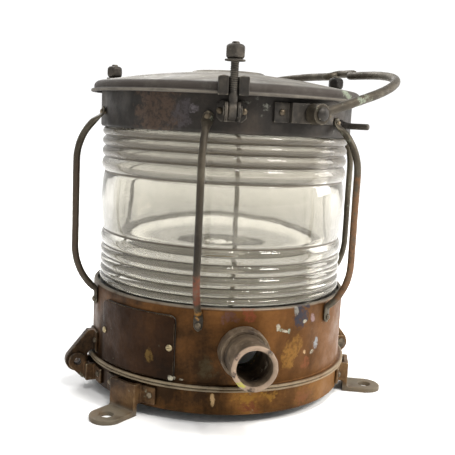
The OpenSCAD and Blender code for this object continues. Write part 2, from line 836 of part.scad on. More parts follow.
// Forked lugs that the swing bolts drop into
module lid_lugs() {
    color(BRONZE) difference() {
        for (az = CLAMP_AZ) station(az) difference() {
            translate([lug_inner, -lug_w / 2, lug_bottom])
                cube([lug_outer - lug_inner, lug_w, lug_top - lug_bottom]);
            translate([pivot_r, 0, 0]) cylinder(d = slot_w, h = long);
            translate([pivot_r, -slot_w / 2, 0]) cube([20, slot_w, long]);
        }
        rotate_extrude() polygon(concat(LID_TOP, [[0, lip_bottom]]));
        translate([0, 0, lug_bottom - 1]) cylinder(r = lip_r, h = lip_bottom - lug_bottom + 1);
        lid_rivet_holes();
    }
}

module lid_rivets() {
    color(BRONZE) for (az = CLAMP_AZ, s = [-1, 1]) station(az)
        translate([lid_rivet_r, s * lid_rivet_y, 0]) {
            translate([0, 0, lid_ceiling + sliver])
                cylinder(d = rivet_d, h = lug_top - lid_ceiling);
            translate([0, 0, lug_top + sliver]) rotate([0, -90, 0])
                dome_head(rivet_head_r, rivet_head_h);
        }
}

// ---------------------------------------------------------------- clamps

function clamp_gap(i) = i == 0 ? front_gap : rear_gap;
function washer_z(i) = lug_top + clamp_gap(i);
function nut_z(i) = washer_z(i) + washer_t;

module swing_bolt(i) {
    tip = nut_z(i) + nut_h + bolt_over_nut;
    color(BRONZE) station(CLAMP_AZ[i]) difference() {
        union() {
            cross_rod(2 * bolt_eye_r, bolt_eye_w, pivot_r, pivot_z);
            translate([pivot_r, 0, pivot_z]) cylinder(d = bolt_d, h = tip - pivot_z);
        }
        cross_rod(bolt_pin_d + 2 * pin_play, 40, pivot_r, pivot_z);
    }
}

module washer(i) {
    color(BRONZE) station(CLAMP_AZ[i]) translate([pivot_r, 0, washer_z(i)]) difference() {
        cylinder(r = washer_r, h = washer_t - sliver);
        translate([0, 0, -1]) cylinder(r = bolt_d / 2 + joint_gap, h = 5);
    }
}

module nut(i) {
    corner_r = nut_af / 2 / cos(30);
    bevel = 1;
    color(BRONZE) station(CLAMP_AZ[i]) translate([pivot_r, 0, nut_z(i)]) difference() {
        intersection() {
            cylinder(r = corner_r, h = nut_h, $fn = 6);
            rotate_extrude() polygon([[0, 0], [corner_r - bevel, 0], [corner_r, bevel],
                [corner_r, nut_h - bevel], [corner_r - bevel, nut_h], [0, nut_h]]);
        }
        translate([0, 0, -1]) cylinder(r = bolt_d / 2 + thread_play, h = nut_h + 2);
    }
}

mounting_ring();
foot(FOOT_AZ[0]);  // foot_left
foot(FOOT_AZ[1]);  // foot_right
foot(FOOT_AZ[2]);  // foot_rear
joint_bracket(hinge_az);  // hinge_bracket
joint_bracket(lock_az);  // lock_bracket
hinge_pin();
ring_rivets();
base_shell();
joint_lug(hinge_az);  // hinge_lug
joint_lug(lock_az);  // lock_lug
shell_rivets();
cable_tube();
tube_collar();
access_cover();
cover_gasket();
cover_screws();
deck_plate();
lower_gasket();
lens();
upper_gasket();
top_band();
guard_rod(0);  // guard_rod_1
guard_rod(1);  // guard_rod_2
guard_rod(2);  // guard_rod_3
guard_rod(3);  // guard_rod_4
guard_rod(4);  // guard_rod_5
guard_rod(5);  // guard_rod_6
clamp_bracket(CLAMP_AZ[0]);  // clamp_bracket_front
clamp_bracket(CLAMP_AZ[1]);  // clamp_bracket_right
clamp_bracket(CLAMP_AZ[2]);  // clamp_bracket_left
bracket_pins();
bail_strap(bail_az);  // bail_strap_front
bail_strap(bail_az + 180);  // bail_strap_rear
bail_pins();
band_rivets();
lashing_peg();
lampholder();
socket_shell();
centre_contact();
terminal_block();
terminal_screws();
lead_wires();
bail_handle();
lid();
lid_gasket();
lid_lugs();
lid_rivets();
swing_bolt(0);  // swing_bolt_front
swing_bolt(1);  // swing_bolt_right
swing_bolt(2);  // swing_bolt_left
washer(0);  // washer_front
washer(1);  // washer_right
washer(2);  // washer_left
nut(0);  // nut_front
nut(1);  // nut_right
nut(2);  // nut_left
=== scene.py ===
"""Looks of the ship lantern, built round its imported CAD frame.

Metres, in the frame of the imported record: origin on the axis at floor level, +Z up, -Y the front.
Azimuths are degrees round the axis from the front and grow towards +X.
"""

import json
import math

import bmesh
import bpy
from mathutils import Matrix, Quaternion, Vector, noise

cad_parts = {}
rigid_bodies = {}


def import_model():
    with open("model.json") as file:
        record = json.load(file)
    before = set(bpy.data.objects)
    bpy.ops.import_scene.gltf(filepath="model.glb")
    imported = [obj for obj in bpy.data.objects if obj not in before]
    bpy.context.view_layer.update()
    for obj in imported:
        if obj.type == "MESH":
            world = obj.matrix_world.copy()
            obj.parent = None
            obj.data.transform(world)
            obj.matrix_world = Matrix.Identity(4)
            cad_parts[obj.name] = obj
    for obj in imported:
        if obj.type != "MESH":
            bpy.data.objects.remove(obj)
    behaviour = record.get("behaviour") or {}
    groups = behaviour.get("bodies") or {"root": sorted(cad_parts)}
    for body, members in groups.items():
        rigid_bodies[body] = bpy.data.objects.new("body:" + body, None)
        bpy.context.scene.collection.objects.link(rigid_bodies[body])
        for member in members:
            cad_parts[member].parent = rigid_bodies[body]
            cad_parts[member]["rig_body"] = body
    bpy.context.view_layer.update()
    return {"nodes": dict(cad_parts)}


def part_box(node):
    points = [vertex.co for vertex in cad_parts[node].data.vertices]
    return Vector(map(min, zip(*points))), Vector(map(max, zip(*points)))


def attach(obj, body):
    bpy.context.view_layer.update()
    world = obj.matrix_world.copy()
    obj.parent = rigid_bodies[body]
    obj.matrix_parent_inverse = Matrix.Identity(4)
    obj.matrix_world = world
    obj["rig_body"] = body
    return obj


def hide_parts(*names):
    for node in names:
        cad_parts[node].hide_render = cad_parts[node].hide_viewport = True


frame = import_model()
MM = 0.001
CLAMPS = {"front": -9, "right": 111, "left": -129}
CLAMP_R, CLAMP_Z = 123, 242
PITCH = 1.27
TUBE_Z, TUBE_HOLE_R = 60, 15.2


def polar(r, azimuth, z):
    a = math.radians(azimuth)
    return Vector((r * math.sin(a), -r * math.cos(a), z)) * MM


# ---------------------------------------------------------------- camera, light, floor


def make_camera():
    data = bpy.data.cameras.new("camera")
    data.sensor_width = 36
    data.lens = 57.5
    camera = bpy.data.objects.new("camera", data)
    bpy.context.scene.collection.objects.link(camera)
    camera.location = (-0.124, -0.6393, 0.2354)
    aim = (Vector((0.006, 0, 0.139)) - camera.location).to_track_quat("-Z", "Y")
    camera.rotation_mode = "QUATERNION"
    camera.rotation_quaternion = aim @ Quaternion((0, 0, 1), math.radians(2.87))
    bpy.context.scene.camera = camera


def area_light(name, location, target, size, watts, colour):
    data = bpy.data.lights.new(name, "AREA")
    data.size, data.energy, data.color = size, watts, colour
    light = bpy.data.objects.new(name, data)
    bpy.context.scene.collection.objects.link(light)
    light.location = location
    light.rotation_mode = "QUATERNION"
    light.rotation_quaternion = (Vector(target) - Vector(location)).to_track_quat("-Z", "Y")


def make_studio():
    """White all round behind the lantern, a dim room behind the camera, and soft lamps above."""
    world = bpy.data.worlds.new("studio")
    bpy.context.scene.world = world
    world.use_nodes = True
    nodes, links = world.node_tree.nodes, world.node_tree.links
    split = nodes.new("ShaderNodeSeparateXYZ")
    links.new(nodes.new("ShaderNodeTexCoord").outputs["Generated"], split.inputs[0])
    ramp = nodes.new("ShaderNodeMapRange")
    ramp.interpolation_type = "SMOOTHSTEP"
    for socket, number in zip(ramp.inputs[1:5], (-0.75, 0.0, 0.34, 1.08)):
        socket.default_value = number
    links.new(split.outputs["Y"], ramp.inputs["Value"])
    background = nodes["Background"]
    background.inputs["Color"].default_value = (1.0, 1.0, 1.0, 1)
    links.new(ramp.outputs[0], background.inputs["Strength"])
    bpy.context.scene.view_settings.view_transform = "Standard"
    target = (0, 0, 0.15)
    area_light("key", (0.75, -0.8, 1.1), target, 0.35, 15, (1.0, 0.97, 0.93))
    area_light("side", (1.4, 0.1, 0.5), target, 0.6, 10, (1.0, 0.96, 0.90))
    area_light("lamp_a", (0.05, -0.75, 1.35), target, 0.14, 5, (1.0, 0.99, 0.97))
    area_light("lamp_b", (0.35, -0.45, 1.5), target, 0.14, 5, (1.0, 0.99, 0.97))
    area_light("back", (-0.3, 1.0, 1.2), target, 0.8, 12, (1.0, 1.0, 1.0))
    bpy.ops.mesh.primitive_plane_add(size=40, location=(0, 0, 0))
    floor = bpy.context.object
    floor.name = "floor"
    floor.data.materials.append(make_floor_material())


# ---------------------------------------------------------------- node graphs


class Graph:
    """A material's nodes, with a line of code for each."""

    def __init__(self, name):
        self.material = bpy.data.materials.new(name)
        self.material.use_nodes = True
        self.nodes = self.material.node_tree.nodes
        self.links = self.material.node_tree.links
        self.shader = self.nodes["Principled BSDF"]
        self.place = self.nodes.new("ShaderNodeTexCoord").outputs["Object"]

    def put(self, socket, value):
        if isinstance(value, bpy.types.NodeSocket):
            self.links.new(value, socket)
        elif isinstance(value, (tuple, Vector)) and len(value) == 3 and socket.type == "RGBA":
            socket.default_value = (*value, 1)
        else:
            socket.default_value = value

    def set(self, **values):
        for name, value in values.items():
            self.put(self.shader.inputs[name.replace("_", " ").title()], value)

    def stretch(self, scale, offset=(0, 0, 0)):
        node = self.nodes.new("ShaderNodeMapping")
        self.put(node.inputs["Vector"], self.place)
        node.inputs["Scale"].default_value = scale
        node.inputs["Location"].default_value = offset
        return node.outputs["Vector"]

    def noise(self, scale, detail=5, rough=0.55, place=None, warp=0):
        node = self.nodes.new("ShaderNodeTexNoise")
        self.put(node.inputs["Vector"], place or self.place)
        node.inputs["Scale"].default_value = scale
        node.inputs["Detail"].default_value = detail
        node.inputs["Roughness"].default_value = rough
        node.inputs["Distortion"].default_value = warp
        return node.outputs["Fac"]

    def math(self, how, a, b=0.0, c=0.0):
        node = self.nodes.new("ShaderNodeMath")
        node.operation = how
        for socket, value in zip(node.inputs, (a, b, c)):
            self.put(socket, value)
        return node.outputs[0]

    def step(self, value, low, high, to_low=0.0, to_high=1.0):
        """Smooth step from to_low at low to to_high at high."""
        node = self.nodes.new("ShaderNodeMapRange")
        node.interpolation_type = "SMOOTHSTEP"
        for socket, number in zip(node.inputs, (value, low, high, to_low, to_high)):
            self.put(socket, number)
        return node.outputs[0]

    def ramp(self, value, *stops):
        node = self.nodes.new("ShaderNodeValToRGB")
        self.put(node.inputs["Fac"], value)
        elements = node.color_ramp.elements
        while len(elements) < len(stops):
            elements.new(0.5)
        for element, (at, colour) in zip(elements, stops):
            element.position, element.color = at, (*colour, 1)
        return node.outputs["Color"]

    def mix(self, share, a, b):
        node = self.nodes.new("ShaderNodeMix")
        node.data_type = "RGBA"
        self.put(node.inputs["Factor"], share)
        self.put(node.inputs[6], a)
        self.put(node.inputs[7], b)
        return node.outputs[2]

    def edges(self, low=0.52, high=0.6):
        """1 on convex edges, from the mesh's own curvature."""
        geometry = self.nodes.new("ShaderNodeNewGeometry")
        return self.step(geometry.outputs["Pointiness"], low, high)

    def hollows(self, low=0.4, high=0.485):
        geometry = self.nodes.new("ShaderNodeNewGeometry")
        return self.step(geometry.outputs["Pointiness"], low, high, 1.0, 0.0)

    def along(self, axis):
        node = self.nodes.new("ShaderNodeSeparateXYZ")
        self.put(node.inputs[0], self.place)
        return node.outputs[axis]

    def axis_distance(self):
        return self.combine("LENGTH", self.combine("MULTIPLY", self.place, (1, 1, 0)), (0, 0, 0))

    def combine(self, how, a, b):
        node = self.nodes.new("ShaderNodeVectorMath")
        node.operation = how
        self.put(node.inputs[0], a)
        self.put(node.inputs[1], b)
        return node.outputs["Value" if how in ("LENGTH", "DISTANCE") else "Vector"]

    def spot(self, centre, size, tall=1.0, ragged=1.6, grain=110):
        """A torn patch round a point, tall times as high as it is wide: 1 inside, 0 outside."""
        node = self.nodes.new("ShaderNodeTexNoise")
        self.put(node.inputs["Vector"], self.place)
        node.inputs["Scale"].default_value = grain
        node.inputs["Detail"].default_value = 6
        node.inputs["Roughness"].default_value = 0.68
        tear = self.combine("SUBTRACT", node.outputs["Color"], (0.5, 0.5, 0.5))
        tear = self.combine("MULTIPLY", tear, (size * ragged * 2,) * 3)
        offset = self.combine("SUBTRACT", self.combine("ADD", self.place, tear), centre)
        offset = self.combine("MULTIPLY", offset, (1, 1, 1 / tall))
        return self.step(self.combine("LENGTH", offset, (0, 0, 0)), size * 0.7, size * 1.05, 1.0, 0.0)

    def most(self, *values):
        total = values[0]
        for value in values[1:]:
            total = self.math("MAXIMUM", total, value)
        return total

    def bump(self, *layers, strength=1.0):
        """layers are (height value, depth in millimetres)."""
        normal = None
        for value, depth in layers:
            node = self.nodes.new("ShaderNodeBump")
            node.inputs["Strength"].default_value = strength
            node.inputs["Distance"].default_value = depth * MM
            self.put(node.inputs["Height"], value)
            if normal is not None:
                self.put(node.inputs["Normal"], normal)
            normal = node.outputs["Normal"]
        self.put(self.shader.inputs["Normal"], normal)


def rgb(*levels):
    """A colour as the display shows it, 0 to 255, turned into linear light."""
    return tuple(((c / 255 + 0.055) / 1.055) ** 2.4 if c > 10 else c / 3295 for c in levels)


def make_floor_material():
    g = Graph("floor_paper")
    paint = g.ramp(g.noise(3), (0.3, (0.93, 0.93, 0.92)), (0.7, (0.95, 0.95, 0.945)))
    g.set(base_color=paint, roughness=0.8)
    g.shader.inputs["Emission Color"].default_value = (1, 1, 1, 1)
    g.put(g.shader.inputs["Emission Strength"], g.step(g.axis_distance(), 0.15, 0.26, 0.0, 0.34))
    return g.material


def aged_metal(
    name,
    tones,
    bare,
    crust=(0, 0, 0),
    crust_share=0.6,
    streaks=0.35,
    broad=16,
    rough=(0.34, 0.62),
    metal=0.75,
    side_shade_and_patina=0.0,
    bands=(),
    spots=(),
    wear=1.0,
    dent=1.0,
):
    """Patinated brass or bronze: dark, middle and bright tones in broad clouds and streaks, dark hollows,
    bare edges and a crust of verdigris. A slope of tone along X, of the size given, darkens the -X side
    and lightens the +X side: painted shade, together with darker patina on the -X side. bands are
    ("r" or an axis, low, high, colour, share), r being the distance from the axis; spots are (place,
    size, tall, colour, dullness)."""
    g = Graph(name)
    clouds = g.noise(broad, 7, 0.6, warp=0.6)
    runs = g.noise(70, 5, 0.6, g.stretch((1, 1, 0.13)))
    grain = g.noise(420, 4, 0.6)
    tone = g.math("MULTIPLY_ADD", g.math("SUBTRACT", runs, 0.5), streaks, clouds)
    tone = g.math("MULTIPLY_ADD", g.math("SUBTRACT", grain, 0.5), 0.22, tone)
    # painted shade: the tone falls towards -X and rises towards +X, together with darker patina on the -X
    # side
    tone = g.math("MULTIPLY_ADD", g.along("X"), side_shade_and_patina / 0.11, tone)
    colour = g.ramp(tone, *zip((0.3, 0.5, 0.72), tones))
    grime = g.math("MULTIPLY", g.hollows(), g.step(g.noise(60), 0.3, 0.6, 0.4, 1.0))
    colour = g.mix(grime, colour, tuple(c * 0.3 for c in tones[0]))
    edge = g.math("MULTIPLY", g.edges(), g.step(g.noise(130, 6, 0.7), 0.42, 0.58, 0.0, wear))
    colour = g.mix(edge, colour, bare)
    bloom = g.math("MULTIPLY", g.noise(34, 8, 0.72, warp=0.4), g.noise(150, 5, 0.7))
    bloom = g.step(bloom, crust_share * 0.5, crust_share * 0.5 + 0.09)
    dull = g.math("MULTIPLY", bloom, g.step(grain, 0.35, 0.6, 0.3, 1.0))
    colour = g.mix(dull, colour, crust)
    roughness = g.step(g.noise(48, 6, 0.65), 0.3, 0.7, rough[0], rough[1])
    roughness = g.math("MULTIPLY_ADD", grain, 0.12, roughness)
    for kind, low, high, band_colour, share in bands:
        where = g.axis_distance() if kind == "r" else g.along(kind)
        least = max(0.25, 2.4 * share - 1.5)
        worn = g.step(g.noise(55, 7, 0.7), 0.36, 0.56, least, share)
        mask = g.math("MULTIPLY", g.step(where, low, high), worn)
        colour = g.mix(mask, colour, band_colour)
        dull = g.most(dull, mask)
    for centre, size, tall, spot_colour, dullness in spots:
        patch = g.spot(centre, size, tall)
        patch = g.math("MULTIPLY", patch, g.step(g.noise(300, 5, 0.7), 0.36, 0.56, 0.25, 1.0))
        colour = g.mix(patch, colour, spot_colour)
        dull = g.most(dull, g.math("MULTIPLY", patch, dullness))
    roughness = g.most(roughness, g.math("MULTIPLY", dull, 0.85))
    g.set(base_color=colour, roughness=roughness, metallic=g.step(dull, 0.0, 1.0, metal, 0.0))
    g.bump((g.noise(28, 3, 0.5), dent), (grain, 0.10), (g.noise(1500, 2, 0.5), 0.03), (dull, 0.12))
    return g.material


def make_glass():
    """Old moulded glass: clear, faintly warm grey, with dirt in the grooves, a thin layer of dust, and a
    darker, browner layer on the top ribs that is partly dust and partly painted shade.
    """
    g = Graph("lens_glass")
    dirt = g.noise(90, 6, 0.7)
    radius, height = g.axis_distance(), g.along("Z")
    outside = g.step(radius, 0.1, 0.1015)
    groove = g.step(radius, 0.1046, 0.1056, 1.0, 0.0)
    deep = g.math("MULTIPLY", groove, g.step(dirt, 0.25, 0.5, 0.7, 0.97))
    # top ribs: more of the surface layer, partly dust and partly painted shade
    upper = g.step(height, 0.184, 0.202, 0.0, 0.40)
    film_and_shade = g.math("ADD", g.step(dirt, 0.3, 0.8, 0.18, 0.28), upper)
    runs = g.noise(60, 5, 0.6, g.stretch((1, 1, 0.08)))
    film_and_shade = g.most(film_and_shade, g.step(runs, 0.62, 0.78, 0.0, 0.40))
    cover = g.math("MULTIPLY", g.most(deep, film_and_shade), outside)
    tint = g.ramp(g.noise(14, 3), (0.35, GLASS_TINT), (0.7, tuple(c * 1.02 for c in GLASS_TINT)))
    soil_and_shade = g.ramp(g.noise(30, 4, 0.6), (0.3, rgb(138, 130, 112)), (0.65, rgb(176, 168, 148)))
    # darker colour on the top ribs: painted shade, together with dust
    soil_and_shade = g.mix(g.math("MULTIPLY", upper, 2.4), soil_and_shade, rgb(88, 79, 64))
    soil_and_shade = g.mix(deep, soil_and_shade, rgb(66, 56, 42))
    g.set(base_color=tint, roughness=g.step(dirt, 0.3, 0.8, 0.015, 0.07))
    g.shader.inputs["IOR"].default_value = 1.47
    g.shader.inputs["Transmission Weight"].default_value = 1.0
    g.bump((g.noise(22, 2, 0.4), 0.35), (g.noise(120, 3, 0.5), 0.03))
    soiled_and_shaded = g.nodes.new("ShaderNodeBsdfPrincipled")
    g.put(soiled_and_shaded.inputs["Base Color"], soil_and_shade)
    soiled_and_shaded.inputs["Roughness"].default_value = 0.45
    both = g.nodes.new("ShaderNodeMixShader")
    g.put(both.inputs[0], cover)
    g.links.new(g.shader.outputs[0], both.inputs[1])
    g.links.new(soiled_and_shaded.outputs[0], both.inputs[2])
    g.links.new(both.outputs[0], g.nodes["Material Output"].inputs["Surface"])
    return g.material


def plain_stuff(name, low, high, rough, scale=40, metal=0.0, depth=0.05, coat=0.0, stain=None):
    """Enamel, porcelain, rubber, bakelite or bright brass: two tones, specks and a fine surface."""
    g = Graph(name)
    clouds = g.noise(scale, 6, 0.6)
    colour = g.ramp(clouds, (0.35, low), (0.65, high))
    if stain:
        mask = g.step(g.noise(scale * 1.7, 7, 0.7), 0.52, 0.66, 0.0, 0.75)
        mask = g.most(mask, g.math("MULTIPLY", g.hollows(), 0.6))
        colour = g.mix(mask, colour, stain)
    roughness = g.step(g.noise(scale * 3, 5, 0.6), 0.3, 0.7, rough * 0.8, min(1, rough * 1.25))
    g.set(base_color=colour, roughness=roughness)
    g.shader.inputs["Metallic"].default_value = metal
    g.shader.inputs["Coat Weight"].default_value = coat
    g.bump((g.noise(scale * 12, 4, 0.6), depth))
    return g.material


def at(r, azimuth, z):
    return tuple(polar(r, azimuth, z))


VERDIGRIS = rgb(120, 128, 110)
CHALK = rgb(152, 146, 128)
# pale colour for the bead's outer flange: a painted highlight along the bead, together with pale crust
BEAD_HIGHLIGHT_AND_CRUST = rgb(126, 113, 90)
INK = rgb(38, 36, 44)
GLASS_TINT = (0.73, 0.715, 0.66)
make_camera()
make_studio()

SHELL_SPOTS = (
    (at(112, 26, 84), 0.0085, 1.3, INK, 0.3),
    (at(112, 23, 89), 0.0022, 2.4, rgb(104, 102, 96), 0.7),
    (at(112, 28, 79), 0.0022, 1.0, CHALK, 0.9),
    (at(112, 33, 81), 0.0026, 1.6, rgb(116, 92, 90), 0.6),
    (at(112, 14.6, 77), 0.0026, 1.2, CHALK, 0.9),
    (at(112, 16.2, 74.6), 0.0022, 0.7, VERDIGRIS, 0.9),
    (at(112, 18, 73), 0.0026, 0.5, CHALK, 0.9),
    (at(112, 20, 73), 0.0018, 1.4, VERDIGRIS, 0.9),
    (at(112, 36, 59), 0.0030, 2.0, rgb(122, 124, 126), 0.7),
    (at(112, 34, 52), 0.0024, 1.0, CHALK, 0.9),
    (at(112, 29, 54), 0.0016, 1.4, rgb(160, 132, 96), 0.4),
    (at(112, -27.5, 34.5), 0.0024, 0.9, CHALK, 0.9),
    (at(112, -24, 34), 0.0020, 0.5, CHALK, 0.9),
    (at(112, 21, 51), 0.0085, 1.5, rgb(118, 84, 38), 0.1),
    (at(112, 25, 62), 0.0050, 2.0, rgb(118, 84, 38), 0.1),
    (at(112, 30, 44), 0.0060, 1.2, rgb(110, 66, 38), 0.1),
    (at(112, 2, 88), 0.0070, 0.7, rgb(112, 60, 38), 0.1),
    (at(112, -6, 87), 0.0075, 0.7, rgb(86, 58, 48), 0.2),
    (at(112, -14, 45), 0.0090, 1.0, rgb(52, 42, 24), 0.2),
    (at(112, 6, 42), 0.0060, 0.6, rgb(104, 56, 36), 0.1),
)
SHEET = aged_metal(
    "sheet_brass",
    (rgb(42, 27, 12), rgb(80, 52, 25), rgb(106, 70, 35)),
    bare=rgb(185, 160, 115),
    crust=VERDIGRIS,
    crust_share=0.74,
    metal=0.9,
    side_shade_and_patina=0.13,
    bands=(
        # inner faces, less than 111 mm from the axis, painted near-black: painted shade inside the base
        ("r", 0.1112, 0.1109, rgb(26, 19, 12), 1.0),
        # the bead's outer flange: painted highlight together with pale crust
        ("r", 0.1141, 0.1152, BEAD_HIGHLIGHT_AND_CRUST, 0.8),
        ("Z", 0.0908, 0.0922, rgb(112, 104, 90), 0.65),
    ),
    spots=SHELL_SPOTS,
)
RING = aged_metal(
    "ring_brass",
    (rgb(42, 27, 12), rgb(86, 57, 27), rgb(126, 87, 42)),
    bare=rgb(200, 170, 112),
    crust=VERDIGRIS,
    crust_share=0.74,
    metal=0.9,
    side_shade_and_patina=0.16,
    # first band: inner faces painted near-black, painted shade inside the ring
    # second band: the bead's outer flange, painted highlight together with pale crust
    bands=(("r", 0.1121, 0.1116, rgb(26, 19, 12), 1.0), ("r", 0.1141, 0.1152, BEAD_HIGHLIGHT_AND_CRUST, 0.8)),
    spots=(
        (at(113, -11, 20), 0.0022, 2.6, rgb(160, 132, 90), 0.6),
        (at(113, 2, 21), 0.0110, 0.40, rgb(122, 88, 36), 0.1),
        (at(113, 12, 22), 0.0080, 0.40, rgb(126, 92, 38), 0.1),
        (at(113, 3, 13), 0.0090, 0.40, rgb(98, 56, 34), 0.1),
        (at(113, 30, 17), 0.0100, 0.70, rgb(108, 68, 38), 0.1),
    ),
)
BRASS = aged_metal(
    "base_brass",
    (rgb(38, 26, 14), rgb(78, 56, 34), rgb(120, 92, 60)),
    bare=rgb(182, 170, 140),
    crust=VERDIGRIS,
    crust_share=0.66,
    broad=30,
    side_shade_and_patina=0.06,
    bands=(("Z", 0.0085, 0.0035, rgb(94, 86, 70), 0.85),),
)
COVER = aged_metal(
    "cover_brass",
    (rgb(24, 14, 6), rgb(42, 25, 11), rgb(64, 41, 19)),
    bare=rgb(185, 172, 140),
    crust=VERDIGRIS,
    crust_share=0.76,
    metal=0.9,
    side_shade_and_patina=0.08,
    spots=(
        (at(114, -28, 35), 0.003, 1.0, CHALK, 0.9),
        (at(114, -38, 50), 0.004, 1.4, rgb(82, 62, 26), 0.2),
    ),
)
BRONZE = aged_metal(
    "top_bronze",
    (rgb(24, 21, 18), rgb(41, 36, 31), rgb(62, 53, 44)),
    bare=rgb(140, 134, 120),
    crust=rgb(110, 110, 100),
    crust_share=0.72,
    broad=20,
    rough=(0.42, 0.7),
    metal=0.55,
    side_shade_and_patina=0.03,
    bands=(("r", 0.1174, 0.1182, rgb(112, 106, 95), 0.7),),
    spots=(
        (at(109, -40, 242), 0.020, 1.2, rgb(66, 51, 40), 0.2),
        (at(109, -29, 238), 0.009, 1.4, rgb(60, 54, 55), 0.2),
        (at(109, -24, 243), 0.004, 1.0, rgb(84, 78, 80), 0.5),
        (at(116, 44, 262), 0.006, 0.6, VERDIGRIS, 0.9),
    ),
)
LID = aged_metal(
    "lid_bronze",
    (rgb(70, 65, 58), rgb(98, 93, 84), rgb(126, 121, 110)),
    bare=rgb(185, 180, 165),
    crust=rgb(165, 165, 152),
    crust_share=0.62,
    broad=22,
    streaks=0.2,
    rough=(0.4, 0.68),
    metal=0.55,
    bands=(("r", 0.1105, 0.1140, rgb(50, 43, 37), 1.0), ("r", 0.1174, 0.1182, rgb(112, 106, 95), 0.7)),
    spots=(
        (at(116, 44, 260), 0.008, 0.6, VERDIGRIS, 0.9),
        (at(100, 60, 266), 0.010, 0.6, rgb(140, 155, 140), 0.9),
    ),
)
FITTINGS = aged_metal(
    "fittings_bronze",
    (rgb(26, 23, 21), rgb(50, 46, 41), rgb(82, 75, 66)),
    bare=rgb(140, 132, 116),
    crust=rgb(130, 132, 120),
    crust_share=0.68,
    broad=40,
    rough=(0.4, 0.7),
    metal=0.6,
)
RIVETS = aged_metal(
    "rivet_brass",
    (rgb(48, 41, 33), rgb(84, 74, 60), rgb(124, 112, 92)),
    bare=rgb(196, 186, 164),
    crust=rgb(150, 150, 136),
    crust_share=0.66,
    broad=90,
    rough=(0.28, 0.55),
)
RODS = aged_metal(
    "guard_rods",
    (rgb(36, 31, 25), rgb(64, 57, 46), rgb(98, 92, 79)),
    bare=rgb(188, 176, 150),
    crust=VERDIGRIS,
    crust_share=0.64,
    broad=14,
    rough=(0.36, 0.62),
    metal=0.65,
    side_shade_and_patina=0.08,
    spots=(
        (at(130, -18, 108), 0.011, 1.6, rgb(96, 54, 36), 0.2),
        (at(118, -18, 90), 0.006, 1.0, rgb(150, 110, 54), 0.1),
        (at(132, 42, 140), 0.03, 2.0, rgb(104, 76, 52), 0.2),
        (at(132, -78, 140), 0.03, 2.4, rgb(62, 50, 38), 0.2),
    ),
)
TUBE = aged_metal(
    "tube_bronze",
    (rgb(50, 40, 30), rgb(88, 74, 58), rgb(126, 110, 90)),
    bare=rgb(186, 172, 150),
    crust=rgb(146, 136, 120),
    crust_share=0.58,
    bands=(("Y", -0.1526, -0.1538, rgb(150, 128, 108), 0.85),),
    broad=60,
    rough=(0.45, 0.75),
    metal=0.5,
    spots=(
        ((-0.0105, -0.155, 0.0485), 0.0045, 0.7, rgb(150, 146, 56), 0.7),
        ((-0.0150, -0.155, 0.0560), 0.0028, 1.0, rgb(40, 24, 16), 0.3),
        ((-0.0135, -0.155, 0.0690), 0.0026, 1.0, rgb(44, 28, 20), 0.3),
        ((-0.0020, -0.155, 0.0450), 0.0040, 0.6, rgb(48, 34, 20), 0.3),
        ((0.0100, -0.155, 0.0720), 0.0040, 0.8, rgb(60, 50, 40), 0.3),
        ((0.0020, -0.110, 0.0775), 0.0060, 0.6, rgb(116, 112, 100), 0.9),
    ),
)
GLASS = make_glass()
RUBBER = plain_stuff(
    "gasket_rubber", (0.02, 0.02, 0.018), (0.06, 0.055, 0.05), 0.7,
    stain=(0.14, 0.13, 0.1),
)
ENAMEL = plain_stuff(
    "deck_enamel", rgb(108, 104, 92), rgb(128, 124, 111), 0.6,
    coat=0.05, stain=rgb(160, 150, 126),
)
PORCELAIN = plain_stuff(
    "porcelain", (0.66, 0.64, 0.58), (0.80, 0.79, 0.74), 0.2,
    coat=0.5, stain=(0.45, 0.38, 0.28),
)
CONTACT = plain_stuff(
    "contact_brass", (0.42, 0.28, 0.09), (0.66, 0.49, 0.2), 0.35,
    metal=1.0, stain=(0.12, 0.08, 0.03),
)
SCREWS = plain_stuff(
    "screw_brass", rgb(112, 98, 72), rgb(158, 144, 112), 0.45,
    metal=0.8, stain=rgb(70, 58, 40),
)
BAKELITE = plain_stuff(
    "bakelite", (0.028, 0.014, 0.008), (0.06, 0.026, 0.014), 0.35,
    stain=(0.1, 0.08, 0.06),
)
SLEEVE = plain_stuff(
    "lead_sleeve", (0.16, 0.02, 0.015), (0.27, 0.04, 0.03), 0.6,
    stain=(0.06, 0.03, 0.02),
)

# ---------------------------------------------------------------- mesh helpers


def add_piece(name, mesh, body, material, replaced=()):
    piece = bpy.data.objects.new(name, mesh)
    bpy.context.scene.collection.objects.link(piece)
    mesh.polygons.foreach_set("use_smooth", [True] * len(mesh.polygons))
    mesh.materials.clear()
    mesh.materials.append(material)
    mesh.update()
    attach(piece, body)
    if replaced:
        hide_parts(*replaced)
    return piece


def mesh_from(name, verts, faces, weld=0.0):
    mesh = bpy.data.meshes.new(name)
    mesh.from_pydata([tuple(v) for v in verts], [], faces)
    work = bmesh.new()
    work.from_mesh(mesh)
    if weld:
        bmesh.ops.remove_doubles(work, verts=work.verts, dist=weld)
    bmesh.ops.recalc_face_normals(work, faces=work.faces)
    work.to_mesh(mesh)
    work.free()
    return mesh


def fillet(points, radius, steps=4, closed=True):
    """Rounds the corners of a 2D outline."""
    out = []
    count = len(points)
    for i, point in enumerate(points):
        p = Vector(point[:2])
        if not closed and i in (0, count - 1) or p.x == 0:
            out.append(p)
            continue
        before, after = Vector(points[i - 1][:2]) - p, Vector(points[(i + 1) % count][:2]) - p
        reach = point[2] if len(point) > 2 else radius
        reach = min(reach, before.length * 0.45, after.length * 0.45)
        a, b = p + before.normalized() * reach, p + after.normalized() * reach
        for k in range(steps + 1):
            t = k / steps
            out.append(a * (1 - t) ** 2 + p * 2 * t * (1 - t) + b * t * t)
    return out


